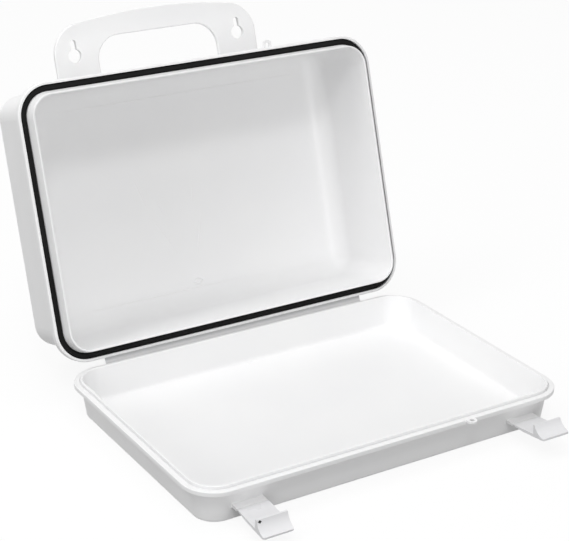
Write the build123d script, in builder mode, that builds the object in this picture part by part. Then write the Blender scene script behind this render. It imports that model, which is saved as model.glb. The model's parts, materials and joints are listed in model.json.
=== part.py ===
from build123d import *
from math import atan2, cos, degrees, radians, sin, tan
import os

# A plastic first aid box that lies open on its shallow lid, with the deep back case standing
# behind the hinge and leaning back. Millimetres, +Z up. X runs along the main hinge, from left
# to right. The lid's outer face lies on Z = 0 with its centre at the origin, and the hinge is on
# the lid's far side, towards +Y.

# Both halves share one rim outline
case_width = 254.0
case_height = 174.2
corner_radius = 21.0

# Main hinge, a thin strip that joins the edges of the two rims, a little left of their centre
lean_angle = 17.0
hinge_reach = 1.6
hinge_rise = 1.2
hinge_length = 190.0
hinge_offset = -1.8
hinge_web_thickness = 0.5
hinge_web_drop = 0.6

# Lid, a shallow tray with a flange round its mouth, a bead that presses on the gasket and a
# narrow groove along the bead's foot
lid_depth = 23.0
lid_flange_width = 3.9
lid_flange_thickness = 2.6
lid_set_in = 3.3
lid_floor = 4.2
lid_edge_radius = 2.0
lid_inner_radius = 2.5
lid_inner_draft = 9.4
lid_rim_round = 0.6
bead_height = 1.6
bead_width = 1.5
bead_round = 0.4
groove_width = 0.8
groove_depth = 0.8

# Back case, a deep tray with a channel for the gasket round its rim and a collar inside that
back_depth = 57.5
back_panel = 1.5
back_wall = 1.5
back_set_in = 0.8
back_edge_radius = 10.0
back_inner_radius = 12.5
lip_width = 1.8
lip_round = 0.9
channel_width = 4.1
channel_depth = 3.3
channel_floor = 1.2
collar_height = 6.9
collar_draft = 9.9
collar_top = 1.3
collar_round = 0.5

# Gasket, a soft ring that fills the channel to a little under the rim
gasket_recess = 0.6
gasket_round = 1.6

# Clearances in the closed box
bead_clearance = 0.4
hook_clearance = 0.3
latch_clearance = 0.3

# Handle, a flat plate level with the back, with a finger opening and two hanging keyholes.
# Heights are measured from the rim's edge, along the back.
handle_thickness = 2.8
handle_width = 148.6
handle_rise = 37.6
handle_crown = 7.3
handle_corner = 21.0
handle_foot_lap = 1.7
handle_round = 0.8
grip_width = 88.0
grip_top = 22.5
grip_bottom = -5.0
grip_top_corner = 16.0
grip_bottom_corner = 6.0
keyhole_spacing = 120.8
keyhole_height = 12.8
keyhole_radius = 4.6
keyhole_slot_radius = 2.0
keyhole_slot_height = 23.0

# Eyelets for a seal, one thin ring on each rim's latch side
eyelet_x = 52.8
eyelet_out = 1.6
eyelet_radius = 3.1
eyelet_hole = 1.45
eyelet_root = 1.5
eyelet_thickness = 1.2

# Latches, each on a thin strip at the edge of a ledge on the lid's front wall
latch_end_gap = 32.5
latch_width = 19.5
latch_axis_height = 10.5
latch_face = 0.5
latch_thickness = 1.8
latch_root = 1.0
latch_swell = 9.0
latch_length = 27.6
latch_tip = 1.2
latch_corner = 1.5
hook_height = 5.8
hook_width = 1.2
hook_back_sag = 1.5
latch_web_reach = 0.8
latch_web_thickness = 0.5
ledge_above = 0.4
ledge_below = 1.2
ledge_flare = 1.0
ledge_round = 0.8
left_latch_angle = -6.4
right_latch_angle = 6.6


# Places that follow from the sizes
half_height = case_height / 2
lean = radians(lean_angle)
rim_up = Vector(0, sin(lean), cos(lean))
rim_out = Vector(0, -cos(lean), sin(lean))
hinge_axis = Vector(0, half_height + hinge_reach, lid_depth + hinge_rise)
back_centre = hinge_axis + rim_up * (hinge_reach + half_height)
lid_rim = Plane(origin=(0, 0, lid_depth), x_dir=(1, 0, 0), z_dir=(0, 0, 1))
back_rim = Plane(origin=back_centre, x_dir=(1, 0, 0), z_dir=rim_out)
back_face = back_rim.offset(-back_depth)
out_of_rim = Axis(back_centre, rim_out)

channel_inset = lip_width + channel_width
back_flange_depth = channel_depth + channel_floor
collar_inset = channel_inset + collar_height * tan(radians(collar_draft))
mouth_inset = collar_inset + collar_top
back_inset = channel_inset + back_set_in
back_pocket_depth = collar_height + back_depth - back_panel
back_pocket_draft = degrees(atan2(back_inset + back_wall - mouth_inset, back_pocket_depth))
bead_inner_inset = channel_inset - bead_clearance
bead_outer_inset = bead_inner_inset - bead_width
lid_pocket_depth = bead_height + lid_depth - lid_floor

latch_x = case_width / 2 - latch_end_gap
latch_out = latch_face + latch_clearance
latch_axis_y = -half_height - latch_out
latch_back = latch_face - latch_thickness
hook_reach = lid_depth + hinge_rise + back_flange_depth - latch_axis_height + hook_clearance
hook_top = latch_face + hook_height


def outline(inset, mode=Mode.ADD):
    """The rim's rounded rectangle, drawn in from the flange's outer edge."""
    width = case_width - 2 * inset
    height = case_height - 2 * inset
    return RectangleRounded(width, height, corner_radius - inset, mode=mode)


def eyelet(side):
    """An ear on the rim's latch side, which is up the sketch for side 1 and down it for -1."""
    with Locations((eyelet_x, side * (half_height + eyelet_out))):
        Circle(eyelet_radius)
    with Locations((eyelet_x, side * (half_height + (eyelet_out - eyelet_root) / 2))):
        Rectangle(2 * eyelet_radius, eyelet_out + eyelet_root)
    with Locations((eyelet_x, side * (half_height + eyelet_out))):
        Circle(eyelet_hole, mode=Mode.SUBTRACT)


def latch_plane(side, angle):
    """The plane of a latch's profile: x runs out along the plate, y out of its inner face."""
    along = Vector(0, -cos(radians(angle)), sin(radians(angle)))
    origin = (side * latch_x, latch_axis_y, latch_axis_height)
    return Plane(origin=origin, x_dir=along, z_dir=(-1, 0, 0))


def latch(side, angle):
    """A plate with a hook across it and a finger tab that the hook's back sweeps into."""
    with BuildPart() as piece:
        with BuildSketch(latch_plane(side, angle)):
            with BuildLine():
                Polyline(
                    (latch_length, latch_back),
                    (latch_swell, latch_back),
                    (latch_web_reach, latch_face - latch_root),
                    (latch_web_reach, latch_face),
                    (hook_reach, latch_face),
                    (hook_reach, hook_top),
                    (hook_reach + hook_width, hook_top),
                )
                SagittaArc(
                    (hook_reach + hook_width, hook_top),
                    (latch_length, latch_back + latch_tip),
                    -hook_back_sag,
                )
                Line((latch_length, latch_back + latch_tip), (latch_length, latch_back))
            make_face()
        extrude(amount=latch_width / 2, both=True)
        end = piece.faces().sort_by(Axis.Y)[0]
        fillet(end.edges().filter_by(Axis.X, reverse=True), latch_corner)
    return piece


def latch_web(side, angle):
    """The thin strip between a ledge's edge and its latch."""
    level = latch_plane(side, 0)
    plate = latch_plane(side, angle)
    half = latch_web_thickness / 2
    ledge_edge = [level.from_local_coords(Vector(-latch_web_reach, y, 0)) for y in (-half, half)]
    plate_edge = [plate.from_local_coords(Vector(latch_web_reach, y, 0)) for y in (half, -half)]
    corners = [level.to_local_coords(point) for point in ledge_edge + plate_edge]
    with BuildPart() as piece:
        with BuildSketch(level):
            with BuildLine():
                Polyline(*[(corner.X, corner.Y) for corner in corners], close=True)
            make_face()
        extrude(amount=latch_width / 2, both=True)
    return piece


# Hollow of the lid, from the bead's top down to the floor
with BuildPart() as lid_pocket:
    with BuildSketch(lid_rim.offset(bead_height)):
        outline(bead_inner_inset)
    extrude(amount=-lid_pocket_depth, taper=lid_inner_draft)
    fillet(lid_pocket.faces().sort_by(Axis.Z)[0].edges(), lid_inner_radius)

# Lid shell, with a ledge for each latch
with BuildPart() as lid_shell:
    with BuildSketch(lid_rim):
        outline(lid_flange_width)
    extrude(amount=-lid_depth, taper=degrees(atan2(lid_set_in, lid_depth)))
    fillet(lid_shell.faces().sort_by(Axis.Z)[0].edges(), lid_edge_radius)
    for side in (-1, 1):
        with BuildSketch(latch_plane(side, 0)) as ledge:
            with BuildLine():
                wall = -latch_out - lid_flange_width - lid_set_in / 2
                root = -latch_out - lid_flange_width - lid_set_in
                Polyline(
                    (-latch_web_reach, -ledge_below),
                    (-latch_web_reach, ledge_above),
                    (wall, ledge_above),
                    (wall, ledge_above + ledge_flare),
                    (root, ledge_above + ledge_flare),
                    (root, -ledge_below - ledge_flare),
                    (wall, -ledge_below - ledge_flare),
                    (wall, -ledge_below),
                    close=True,
                )
            make_face()
            fillet(ledge.vertices().group_by(Axis.X)[1].sort_by(Axis.Y)[1:3], ledge_round)
        extrude(amount=latch_width / 2, both=True)

    with BuildSketch(lid_rim):
        outline(0)
    extrude(amount=-lid_flange_thickness)
    fillet(lid_shell.faces().sort_by(Axis.Z)[-1].outer_wire().edges(), lid_rim_round)
    with BuildSketch(lid_rim):
        eyelet(-1)
    extrude(amount=-eyelet_thickness)
    with BuildSketch(lid_rim):
        outline(bead_outer_inset - groove_width)
        outline(bead_outer_inset, mode=Mode.SUBTRACT)
    extrude(amount=-groove_depth, mode=Mode.SUBTRACT)
    with BuildSketch(lid_rim):
        outline(bead_outer_inset)
    extrude(amount=bead_height)
    add(lid_pocket.part, mode=Mode.SUBTRACT)
    fillet(lid_shell.faces().sort_by(Axis.Z)[-1].edges(), bead_round)
lid_shell.part.label = "lid_shell"

# Back case's outer form, before it is hollowed
with BuildPart() as back_body:
    with BuildSketch(back_rim):
        outline(channel_inset)
    extrude(amount=-back_depth, taper=degrees(atan2(back_set_in, back_depth)))
    fillet(back_body.faces().sort_by(out_of_rim)[0].edges(), back_edge_radius)

# Hollow of the back case, from the collar's top to the back panel
with BuildPart() as back_pocket:
    with BuildSketch(back_rim.offset(collar_height)):
        outline(mouth_inset)
    extrude(amount=-back_pocket_depth, taper=back_pocket_draft)
    fillet(back_pocket.faces().sort_by(out_of_rim)[0].edges(), back_inner_radius)

# Back case's shell
with BuildPart() as back_shell:
    add(back_body.part)
    with BuildSketch(back_rim):
        outline(0)
    extrude(amount=-back_flange_depth)
    fillet(back_shell.faces().sort_by(out_of_rim)[-1].outer_wire().edges(), lip_round)
    with BuildSketch(back_rim.offset(eyelet_thickness - back_flange_depth)):
        eyelet(1)
    extrude(amount=-eyelet_thickness)
    with BuildSketch(back_rim):
        outline(channel_inset)
    extrude(amount=collar_height, taper=collar_draft)
    add(back_pocket.part, mode=Mode.SUBTRACT)
    with BuildSketch(back_rim):
        outline(lip_width)
        outline(channel_inset, mode=Mode.SUBTRACT)
    extrude(amount=-channel_depth, mode=Mode.SUBTRACT)
    fillet(back_shell.faces().sort_by(out_of_rim)[-1].edges(), collar_round)
back_shell.part.label = "back_shell"

# Gasket
with BuildPart() as gasket:
    with BuildSketch(back_rim.offset(-channel_depth)):
        outline(lip_width)
        outline(channel_inset, mode=Mode.SUBTRACT)
    extrude(amount=channel_depth - gasket_recess)
    fillet(gasket.faces().sort_by(out_of_rim)[-1].edges(), gasket_round)
gasket.part.label = "gasket"

# Carry handle
with BuildPart() as carry_handle:
    foot = half_height - back_inset - back_edge_radius + handle_foot_lap
    shoulder = half_height + handle_rise - handle_crown
    with BuildSketch(back_face) as plate:
        with BuildLine():
            Polyline(
                (-handle_width / 2, shoulder),
                (-handle_width / 2, foot),
                (handle_width / 2, foot),
                (handle_width / 2, shoulder),
            )
            ThreePointArc(
                (handle_width / 2, shoulder),
                (0, half_height + handle_rise),
                (-handle_width / 2, shoulder),
            )
        make_face()
        fillet(plate.vertices().group_by(Axis.Y)[-1], handle_corner)
    extrude(amount=handle_thickness)
    with BuildSketch(back_face) as grip:
        with Locations((0, half_height + grip_bottom)):
            Rectangle(grip_width, grip_top - grip_bottom, align=(Align.CENTER, Align.MIN))
        fillet(grip.vertices().group_by(Axis.Y)[-1], grip_top_corner)
        fillet(grip.vertices().group_by(Axis.Y)[0], grip_bottom_corner)
    extrude(amount=handle_thickness, mode=Mode.SUBTRACT)
    faces = carry_handle.faces().sort_by(out_of_rim)
    rims = faces[0].edges() + faces[-1].edges()
    fillet(rims.sort_by(Axis(back_centre, rim_up))[2:], handle_round)
    with BuildSketch(back_face):
        slot_length = keyhole_slot_height - keyhole_slot_radius - keyhole_height
        for x in (-keyhole_spacing / 2, keyhole_spacing / 2):
            with Locations((x, half_height + keyhole_height)):
                Circle(keyhole_radius)
            with Locations((x, half_height + keyhole_height + slot_length / 2)):
                SlotCenterToCenter(slot_length, 2 * keyhole_slot_radius, rotation=90)
    extrude(amount=handle_thickness, mode=Mode.SUBTRACT)
    add(back_body.part, mode=Mode.SUBTRACT)
carry_handle.part.label = "carry_handle"

# Main hinge's thin strip
with BuildPart() as hinge_web:
    with BuildSketch(Plane.YZ.offset(hinge_offset)):
        with BuildLine():
            depths = (hinge_web_drop, hinge_web_drop + hinge_web_thickness)
            lid_edge = [(half_height, lid_depth - depth) for depth in reversed(depths)]
            back_edge = [hinge_axis + rim_up * hinge_reach - rim_out * depth for depth in depths]
            Polyline(*lid_edge, *[(point.Y, point.Z) for point in back_edge], close=True)
        make_face()
    extrude(amount=hinge_length / 2, both=True)
hinge_web.part.label = "hinge_web"

# Latches and their strips
latch_left = latch(-1, left_latch_angle)
latch_left.part.label = "latch_left"
latch_right = latch(1, right_latch_angle)
latch_right.part.label = "latch_right"
latch_web_left = latch_web(-1, left_latch_angle)
latch_web_left.part.label = "latch_web_left"
latch_web_right = latch_web(1, right_latch_angle)
latch_web_right.part.label = "latch_web_right"

pieces = (
    lid_shell,
    back_shell,
    carry_handle,
    gasket,
    hinge_web,
    latch_left,
    latch_right,
    latch_web_left,
    latch_web_right,
)
os.makedirs("parts", exist_ok=True)
for piece in pieces:
    export_step(piece.part, f"parts/{piece.part.label}.step")
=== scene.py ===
import json
import math

import bmesh
import bpy
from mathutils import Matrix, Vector


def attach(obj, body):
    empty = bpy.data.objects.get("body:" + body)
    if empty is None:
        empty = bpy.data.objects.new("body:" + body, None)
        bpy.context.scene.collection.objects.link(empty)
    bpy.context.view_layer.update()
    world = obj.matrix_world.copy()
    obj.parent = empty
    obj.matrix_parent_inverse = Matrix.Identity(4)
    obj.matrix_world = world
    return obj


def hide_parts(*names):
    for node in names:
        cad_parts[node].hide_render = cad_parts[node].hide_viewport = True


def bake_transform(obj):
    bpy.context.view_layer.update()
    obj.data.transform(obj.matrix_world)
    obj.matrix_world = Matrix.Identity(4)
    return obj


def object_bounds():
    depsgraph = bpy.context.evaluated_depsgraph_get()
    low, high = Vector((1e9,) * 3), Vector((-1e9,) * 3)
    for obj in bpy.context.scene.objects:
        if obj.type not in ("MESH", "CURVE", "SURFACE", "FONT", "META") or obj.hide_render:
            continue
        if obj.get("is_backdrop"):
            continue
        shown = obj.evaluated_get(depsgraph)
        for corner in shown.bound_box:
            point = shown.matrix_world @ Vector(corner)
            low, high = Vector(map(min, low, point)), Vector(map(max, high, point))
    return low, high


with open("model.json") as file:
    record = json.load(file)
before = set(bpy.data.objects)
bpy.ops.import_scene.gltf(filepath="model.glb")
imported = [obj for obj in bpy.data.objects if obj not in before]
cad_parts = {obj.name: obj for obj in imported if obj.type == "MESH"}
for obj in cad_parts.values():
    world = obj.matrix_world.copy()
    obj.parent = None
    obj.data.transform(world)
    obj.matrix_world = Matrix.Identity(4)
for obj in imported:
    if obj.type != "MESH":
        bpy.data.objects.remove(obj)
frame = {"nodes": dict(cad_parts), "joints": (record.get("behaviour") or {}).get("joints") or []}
cad_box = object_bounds()

# The dressing of an open plastic first aid box. Pieces are laid out in millimetres, in the
# model's own frame: +X along the main hinge, +Y from the latches towards it, +Z up.
MM = 0.001
axes = {joint["name"]: [c / MM for c in joint["pos_m"]] for joint in frame["joints"]}

# The back case leans back behind the hinge, whose axis lies below its rim
LEAN = math.radians(17.0)
RIM_UP = Vector((0, math.sin(LEAN), math.cos(LEAN)))
RIM_OUT = Vector((0, -math.cos(LEAN), math.sin(LEAN)))
HINGE_TO_CENTRE = 88.7
BACK_CENTRE = Vector(axes["main_hinge"]) + RIM_UP * HINGE_TO_CENTRE
PANEL_DEPTH = 56.0
LID_FLOOR = 4.2

# Hinge strip: its middle and length along X and the thickness of its lands and of its fold, and
# the YZ places of its two edges and of the handles of the curve between them
HINGE_MIDDLE = -1.8
HINGE_LENGTH = 190.0
HINGE_LAND = 0.7
HINGE_FOLD = 0.34
LID_EDGE = (86.9, 22.15)
LID_HANDLE = (88.9, 22.15)
CASE_HANDLE = (89.48, 23.85)
CASE_EDGE = (90.04, 25.67)

# Latches: X, Y and Z of the right one's axis, and each one's angle above level, in degrees
LATCH_X, LATCH_Y, LATCH_Z = axes["right_latch_hinge"]
LATCH_ANGLES = {"left": -6.4, "right": 6.6}
LATCH_WIDTH = 19.5
STRIP_REACH = 1.0
STRIP_LAND = 0.5
STRIP_FOLD = 0.3
EDGE_ROUND = 0.3

# Hollow back of a latch's hook, an arc in its profile, whose places are given along the plate
# and out of it, and the place of a dark disc of painted shade for a small pit near the hook's left
# end
HOOK_TOP = Vector((19.7, 6.3))
HOOK_TIP = Vector((27.6, -0.1))
HOOK_SAG = 1.5
SPOT_X = -102.4
SPOT_HEIGHT = 5.15

# Unevenness of moulded plastic: the scale per metre and the detail of each noise, and how deep
# its waves and its grain are, in metres
CLOUDS = (14, 3)
GLOSS = (40, 4)
SINKS = (9, 1)
SINK_DEPTH = 0.002
GRAIN = (900, 2)
GRAIN_DEPTH = 0.0002
PLASTIC_IOR = 1.49


# Material helpers
def material(name):
    mat = bpy.data.materials.new(name)
    mat.use_nodes = True
    tree = mat.node_tree
    return mat, tree, tree.nodes["Principled BSDF"]


def noise(tree, scale, detail):
    coords = tree.nodes.new("ShaderNodeTexCoord")
    tex = tree.nodes.new("ShaderNodeTexNoise")
    tex.inputs["Scale"].default_value = scale
    tex.inputs["Detail"].default_value = detail
    tree.links.new(coords.outputs["Object"], tex.inputs["Vector"])
    return tex.outputs[0]


def ramp(tree, value, low, high):
    """From the colour low to the colour high, as the value goes through its middle range."""
    node = tree.nodes.new("ShaderNodeValToRGB")
    for element, place, colour in zip(node.color_ramp.elements, (0.3, 0.7), (low, high)):
        element.position = place
        element.color = (*colour, 1)
    tree.links.new(value, node.inputs[0])
    return node.outputs[0]


def bump(tree, height, strength, distance, under=None):
    node = tree.nodes.new("ShaderNodeBump")
    node.inputs["Strength"].default_value = strength
    node.inputs["Distance"].default_value = distance
    tree.links.new(height, node.inputs["Height"])
    if under:
        tree.links.new(under, node.inputs["Normal"])
    return node.outputs[0]


def height_share(tree, start, end):
    """0 at the height start and 1 at the height end, both in metres."""
    coords = tree.nodes.new("ShaderNodeTexCoord")
    split = tree.nodes.new("ShaderNodeSeparateXYZ")
    tree.links.new(coords.outputs["Object"], split.inputs[0])
    share = tree.nodes.new("ShaderNodeMapRange")
    share.inputs["From Min"].default_value = start
    share.inputs["From Max"].default_value = end
    tree.links.new(split.outputs["Z"], share.inputs["Value"])
    return share.outputs[0]


def plastic(name, dark, light, rough=(0.3, 0.42), grain=0.04, sink=0.0, specular=0.5, painted_shade_heights=None):
    """Moulded plastic with uneven gloss, slow sink waves and a fine orange-peel grain.

    The colour is faintly cloudy, or goes from dark to light between two given heights as painted
    shade.
    """
    mat, tree, shader = material(name)
    spread = height_share(tree, *painted_shade_heights) if painted_shade_heights else noise(tree, *CLOUDS)
    tree.links.new(ramp(tree, spread, dark, light), shader.inputs["Base Color"])
    smooth, dull = ((level,) * 3 for level in rough)
    gloss = ramp(tree, noise(tree, *GLOSS), smooth, dull)
    tree.links.new(gloss, shader.inputs["Roughness"])
    shader.inputs["IOR"].default_value = PLASTIC_IOR
    shader.inputs["Specular IOR Level"].default_value = specular
    waves = bump(tree, noise(tree, *SINKS), sink, SINK_DEPTH) if sink else None
    peel = bump(tree, noise(tree, *GRAIN), grain, GRAIN_DEPTH, waves)
    tree.links.new(peel, shader.inputs["Normal"])
    return mat


# Materials
white_shell = plastic("white_shell", (0.88, 0.88, 0.885), (0.9, 0.9, 0.9), sink=0.12)
# Painted shade: the latches are a darker copy of the shell's white, for the shade on their plates
latch_painted_shade = plastic("latch_painted_shade", (0.76, 0.76, 0.775), (0.79, 0.79, 0.8), rough=(0.26, 0.36))
white_hinge = plastic("white_hinge", (0.74, 0.74, 0.75), (0.82, 0.82, 0.825), rough=(0.38, 0.52))
# Painted shade: the hinge film darkens towards its top, where it lies under the back case's rim
hinge_fold_painted_shade = plastic(
    "hinge_fold_painted_shade", (0.46, 0.46, 0.47), (0.76, 0.76, 0.765), rough=(0.4, 0.55), painted_shade_heights=(0.0259, 0.0221)
)
rubber = plastic(
    "black_rubber", (0.004,) * 3, (0.008,) * 3, rough=(0.6, 0.75), grain=0.15, specular=0.15
)
# Painted shade: near-black for the inside of a small pit on the left latch's hook
pit_painted_shade = plastic("painted_pit_shade", (0.01,) * 3, (0.03,) * 3, rough=(0.6, 0.8))

looks = {
    "lid_shell": white_shell,
    "back_shell": white_shell,
    "carry_handle": white_shell,
    "latch_left": latch_painted_shade,
    "latch_right": latch_painted_shade,
    "gasket": rubber,
    "hinge_web": hinge_fold_painted_shade,
    "latch_web_left": white_hinge,
    "latch_web_right": white_hinge,
}
for name, mat in looks.items():
    node = frame["nodes"][name]
    node.data.materials.clear()
    node.data.materials.append(mat)

# Latches: the CAD's edges, softened as a mould leaves them
for name in ("latch_left", "latch_right"):
    node = frame["nodes"][name]
    weld = node.modifiers.new("weld", "WELD")
    weld.merge_threshold = 0.01 * MM
    soften = node.modifiers.new("soften", "BEVEL")
    soften.width = EDGE_ROUND * MM
    soften.segments = 3
    soften.limit_method = "ANGLE"
    soften.angle_limit = math.radians(35)
    shade = node.modifiers.new("shade", "WEIGHTED_NORMAL")
    shade.keep_sharp = False


# Mesh helpers
def mesh_object(name, points, faces, mat, crease=40):
    """A mesh from points in millimetres, smooth but for edges sharper than crease degrees."""
    mesh = bpy.data.meshes.new(name)
    mesh.from_pydata([Vector(p) * MM for p in points], [], faces)
    bm = bmesh.new()
    bm.from_mesh(mesh)
    bmesh.ops.recalc_face_normals(bm, faces=bm.faces)
    for face in bm.faces:
        face.smooth = True
    for edge in bm.edges:
        if edge.calc_face_angle(0) > math.radians(crease):
            edge.smooth = False
    bm.to_mesh(mesh)
    bm.free()
    mesh.materials.append(mat)
    obj = bpy.data.objects.new(name, mesh)
    bpy.context.scene.collection.objects.link(obj)
    return obj


def tube_faces(rings, count, first=0):
    """Faces of a closed tube whose rings of count points follow each other from point first."""
    last = first + (rings - 1) * count
    faces = []
    for start in range(first, last, count):
        for i in range(count):
            a, b = start + i, start + (i + 1) % count
            faces.append((a, b, b + count, a + count))
    faces.append(tuple(range(first, first + count)))
    faces.append(tuple(reversed(range(last, last + count))))
    return faces


def bezier(a, b, c, d, count):
    """Points along a cubic Bezier curve in the YZ plane."""
    points = []
    for i in range(count + 1):
        t = i / count
        weights = ((1 - t) ** 3, 3 * t * (1 - t) ** 2, 3 * t * t * (1 - t), t**3)
        points.append(tuple(sum(w * p[k] for w, p in zip(weights, (a, b, c, d))) for k in (0, 1)))
    return points


def film(name, middle, length, line, land, fold, columns, mat):
    """A flexing strip along X: thick lands at both edges of its YZ line and a thin fold between."""
    last = len(line) - 1
    above, below = [], []
    for i, (y, z) in enumerate(line):
        before, after = line[max(i - 1, 0)], line[min(i + 1, last)]
        dy, dz = after[0] - before[0], after[1] - before[1]
        size = math.hypot(dy, dz)
        half = (fold + (land - fold) * abs(2 * i / last - 1) ** 3) / 2
        above.append((y - dz / size * half, z + dy / size * half))
        below.append((y + dz / size * half, z - dy / size * half))
    section = above + below[::-1]
    points = []
    for column in range(columns + 1):
        x = middle + length * (column / columns - 0.5)
        points += [(x, y, z) for y, z in section]
    return mesh_object(name, points, tube_faces(columns + 1, len(section)), mat)


def ridge(name, runs, to_point, width, height, mat):
    """Low ridges along straight runs in a surface's own two coordinates, fading at their ends."""
    profile = ((-1, -0.3), (-0.35, 0.8), (0.35, 0.8), (1, -0.3))
    steps = 12
    points, faces = [], []
    for (u0, v0), (u1, v1) in runs:
        size = math.hypot(u1 - u0, v1 - v0)
        across = (-(v1 - v0) / size, (u1 - u0) / size)
        faces += tube_faces(steps + 1, len(profile), len(points))
        for i in range(steps + 1):
            t = i / steps
            fade = math.sin(math.pi * t) ** 0.6
            u, v = u0 + (u1 - u0) * t, v0 + (v1 - v0) * t
            for side, lift in profile:
                reach = side * width / 2
                level = height * (lift if lift < 0 else lift * fade)
                points.append(to_point(u + across[0] * reach, v + across[1] * reach, level))
    return mesh_object(name, points, faces, mat, crease=60)


def pip(name, centre, to_point, radii, height, mat):
    """A low stub, as a trimmed gate leaves: a rounded diamond with a dished top."""
    rings = ((1.0, -0.3), (0.85, 0.7), (0.65, 1.0), (0.3, 0.8))
    sides = 24
    points = []
    for share, lift in rings:
        for i in range(sides):
            turn = 2 * math.pi * i / sides
            diamond = 1 / (abs(math.cos(turn)) + abs(math.sin(turn))) ** 0.7
            u = centre[0] + radii[0] * share * diamond * math.cos(turn)
            v = centre[1] + radii[1] * share * diamond * math.sin(turn)
            points.append(to_point(u, v, height * lift))
    return mesh_object(name, points, tube_faces(len(rings), sides), mat, crease=70)


# Hinge strip, bent between the two rims
line = bezier(LID_EDGE, LID_HANDLE, CASE_HANDLE, CASE_EDGE, 16)
strip = film("hinge_strip", HINGE_MIDDLE, HINGE_LENGTH, line, HINGE_LAND, HINGE_FOLD, 48, hinge_fold_painted_shade)
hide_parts("hinge_web")
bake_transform(strip)


# Latch strips, from each ledge to its plate
def latch_directions(angle):
    """The directions along a latch's plate and out of its inner face."""
    tilt = math.radians(angle)
    along = Vector((0, -math.cos(tilt), math.sin(tilt)))
    out = Vector((0, math.sin(tilt), math.cos(tilt)))
    return along, out


for side, name in ((-1, "left"), (1, "right")):
    along, _ = latch_directions(LATCH_ANGLES[name])
    axis = (LATCH_Y, LATCH_Z)
    ledge_side = (LATCH_Y + STRIP_REACH, LATCH_Z)
    plate_side = (LATCH_Y + STRIP_REACH * along.y, LATCH_Z + STRIP_REACH * along.z)
    line = bezier(ledge_side, axis, axis, plate_side, 10)
    label = f"latch_strip_{name}"
    x = side * LATCH_X
    strip = film(label, x, LATCH_WIDTH, line, STRIP_LAND, STRIP_FOLD, 12, white_hinge)
    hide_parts(f"latch_web_{name}")
    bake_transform(strip)


# Moulding marks: flow lines, the lines where the flat panel ends, and two gate stubs, all in
# millimetres from the panel's or the floor's middle
def on_panel(u, v, lift):
    return BACK_CENTRE + Vector((u, 0, 0)) + RIM_UP * v + RIM_OUT * (lift - PANEL_DEPTH)


def on_lid_floor(u, v, lift):
    return Vector((u, v, LID_FLOOR + lift))


flow = (
    ((-34, 16), (-26, -10)),
    ((-25, -13), (-9, -41)),
    ((13, -14), (5, -44)),
    ((-20, -2), (-15, -16)),
    ((9, 4), (7, -8)),
)
panel_edges = (
    ((-84, 65.4), (104, 65.4)),
    ((-84, -65.4), (44, -65.4)),
)
for name, runs, width, height in (
    ("panel_flow_lines", flow, 1.5, 0.22),
    ("panel_edge_lines", panel_edges, 1.0, 0.3),
):
    lines = ridge(name, runs, on_panel, width, height, white_shell)
    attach(lines, "back_case")
for name, centre, to_point, radii, height, body in (
    ("panel_gate_stub", (2.5, -61.5), on_panel, (4.2, 2.4), 0.55, "back_case"),
    ("lid_gate_stub", (0.3, 76.2), on_lid_floor, (5.0, 2.2), 0.3, "lid"),
):
    stub = pip(name, centre, to_point, radii, height, white_shell)
    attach(stub, body)

# A small dark disc of painted shade for a pit at the left end of the left latch's hook, on the arc
# of its back
chord = HOOK_TIP - HOOK_TOP
hook_radius = (chord.length_squared / 4 + HOOK_SAG**2) / (2 * HOOK_SAG)
to_centre = Vector((-chord.y, chord.x)).normalized() * (hook_radius - HOOK_SAG)
hook_centre = (HOOK_TOP + HOOK_TIP) / 2 + to_centre
plate_along, plate_out = latch_directions(LATCH_ANGLES["left"])


def on_hook(u, v, lift):
    """A point on the hook's hollow back, v up its curve from the spot's middle."""
    turn = math.pi + math.asin((hook_centre.y - SPOT_HEIGHT) / hook_radius) - v / hook_radius
    reach = hook_radius - lift
    along = plate_along * (hook_centre.x + reach * math.cos(turn))
    out = plate_out * (hook_centre.y + reach * math.sin(turn))
    return Vector((u, LATCH_Y, LATCH_Z)) + along + out


spot = pip("latch_pit_shade", (SPOT_X, 0), on_hook, (1.2, 1.0), 0.1, pit_painted_shade)
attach(spot, "left_latch")


# Stage: white where it is seen or mirrored, and plainer where it only lights the object
def seen_share(tree, strength):
    """strength for the rays that show the background, and 0 for those that light the object."""
    path = tree.nodes.new("ShaderNodeLightPath")
    seen = tree.nodes.new("ShaderNodeMath")
    seen.operation = "MAXIMUM"
    tree.links.new(path.outputs["Is Camera Ray"], seen.inputs[0])
    tree.links.new(path.outputs["Is Glossy Ray"], seen.inputs[1])
    share = tree.nodes.new("ShaderNodeMath")
    share.operation = "MULTIPLY"
    tree.links.new(seen.outputs[0], share.inputs[0])
    share.inputs[1].default_value = strength
    return share.outputs[0]


def mix_shaders(tree, share, below, above):
    mix = tree.nodes.new("ShaderNodeMixShader")
    tree.links.new(share, mix.inputs[0])
    tree.links.new(below, mix.inputs[1])
    tree.links.new(above, mix.inputs[2])
    return mix.outputs[0]


FLOOR_SIZE = 12
FLOOR_DROP = 0.0001
FLOOR_GREY = (0.2, 0.2, 0.2, 1)
FLOOR_GLOW = 0.9
WHITE = (1, 1, 1, 1)
FAR_WHITE = (0.94, 0.94, 0.94, 1)
FILL_LIGHT = 0.38
bpy.ops.mesh.primitive_plane_add(size=FLOOR_SIZE, location=(0, 0, -FLOOR_DROP))
floor = bpy.context.object
floor.name = "floor"
mat, tree, dim = material("floor")
dim.inputs["Base Color"].default_value = FLOOR_GREY
dim.inputs["Roughness"].default_value = 0.9
paper = tree.nodes.new("ShaderNodeBsdfDiffuse")
paper.inputs["Color"].default_value = WHITE
glow = tree.nodes.new("ShaderNodeEmission")
white = mix_shaders(tree, seen_share(tree, FLOOR_GLOW), paper.outputs[0], glow.outputs[0])
surface = mix_shaders(tree, seen_share(tree, 1.0), dim.outputs[0], white)
tree.links.new(surface, tree.nodes["Material Output"].inputs["Surface"])
floor.data.materials.append(mat)
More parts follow.
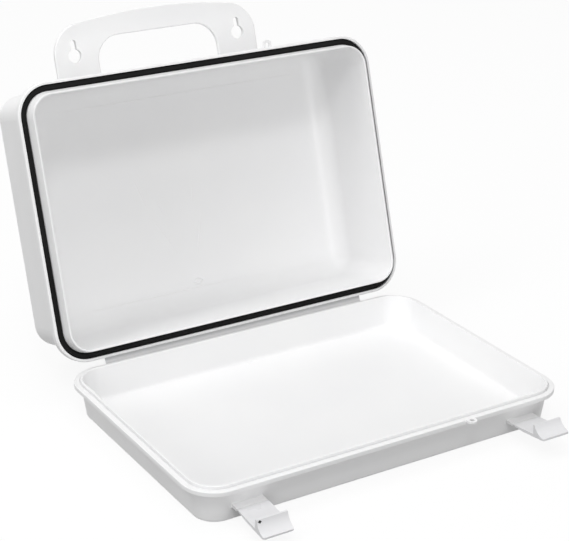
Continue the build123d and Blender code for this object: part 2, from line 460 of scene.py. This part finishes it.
floor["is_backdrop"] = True

# The backdrop is as bright as the far floor, so no horizon shows
world = bpy.data.worlds.new("world")
bpy.context.scene.world = world
world.use_nodes = True
tree = world.node_tree
soft = tree.nodes["Background"]
soft.inputs["Color"].default_value = WHITE
soft.inputs["Strength"].default_value = FILL_LIGHT
backdrop = tree.nodes.new("ShaderNodeBackground")
backdrop.inputs["Color"].default_value = FAR_WHITE
mixed = mix_shaders(tree, seen_share(tree, 1.0), soft.outputs[0], backdrop.outputs[0])
tree.links.new(mixed, tree.nodes["World Output"].inputs["Surface"])

# Lamps: place and disc size in metres and power in watts, all turned to one place above the lid
LAMPS = (
    ("key", (-0.7, -1.1, 1.94), 0.4, 8.0),
    ("top", (0.0, 0.1, 2.2), 1.6, 12.0),
    ("left", (-2.0, -0.3, 0.9), 1.0, 7.8),
    ("high_left", (-1.2, 0.3, 1.8), 0.9, 9.0),
    ("front", (-0.3, -2.2, 0.5), 1.2, 13.0),
)
LIT_PLACE = Vector((0, 0.05, 0.06))
for name, place, size, power in LAMPS:
    data = bpy.data.lights.new(name, "AREA")
    data.shape = "DISK"
    data.size = size
    data.energy = power
    lamp = bpy.data.objects.new(name, data)
    bpy.context.scene.collection.objects.link(lamp)
    lamp.location = place
    lamp.rotation_euler = (LIT_PLACE - Vector(place)).to_track_quat("-Z", "Y").to_euler()

# Camera: place in metres, turn about X, Y and Z in degrees, and focal length, picture width and
# shift of the optical centre in pixels
CAMERA_PLACE = (-0.48970, -0.76133, 0.47743)
CAMERA_TURN = (67.3323, -0.2842, -31.2715)
FOCAL_LENGTH = 1661.45
PICTURE_WIDTH = 569
CENTRE_SHIFT = (5.52, -4.92)
SENSOR_WIDTH = 36
data = bpy.data.cameras.new("camera")
data.sensor_width = SENSOR_WIDTH
data.lens = FOCAL_LENGTH * SENSOR_WIDTH / PICTURE_WIDTH
data.shift_x = CENTRE_SHIFT[0] / PICTURE_WIDTH
data.shift_y = CENTRE_SHIFT[1] / PICTURE_WIDTH
data.clip_start = 0.05
camera = bpy.data.objects.new("camera", data)
bpy.context.scene.collection.objects.link(camera)
camera.location = CAMERA_PLACE
camera.rotation_euler = [math.radians(angle) for angle in CAMERA_TURN]
bpy.context.scene.camera = camera
bpy.context.scene.view_settings.view_transform = "Standard"

size = {"cad": [list(c) for c in cad_box], "visual": [list(c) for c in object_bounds()]}
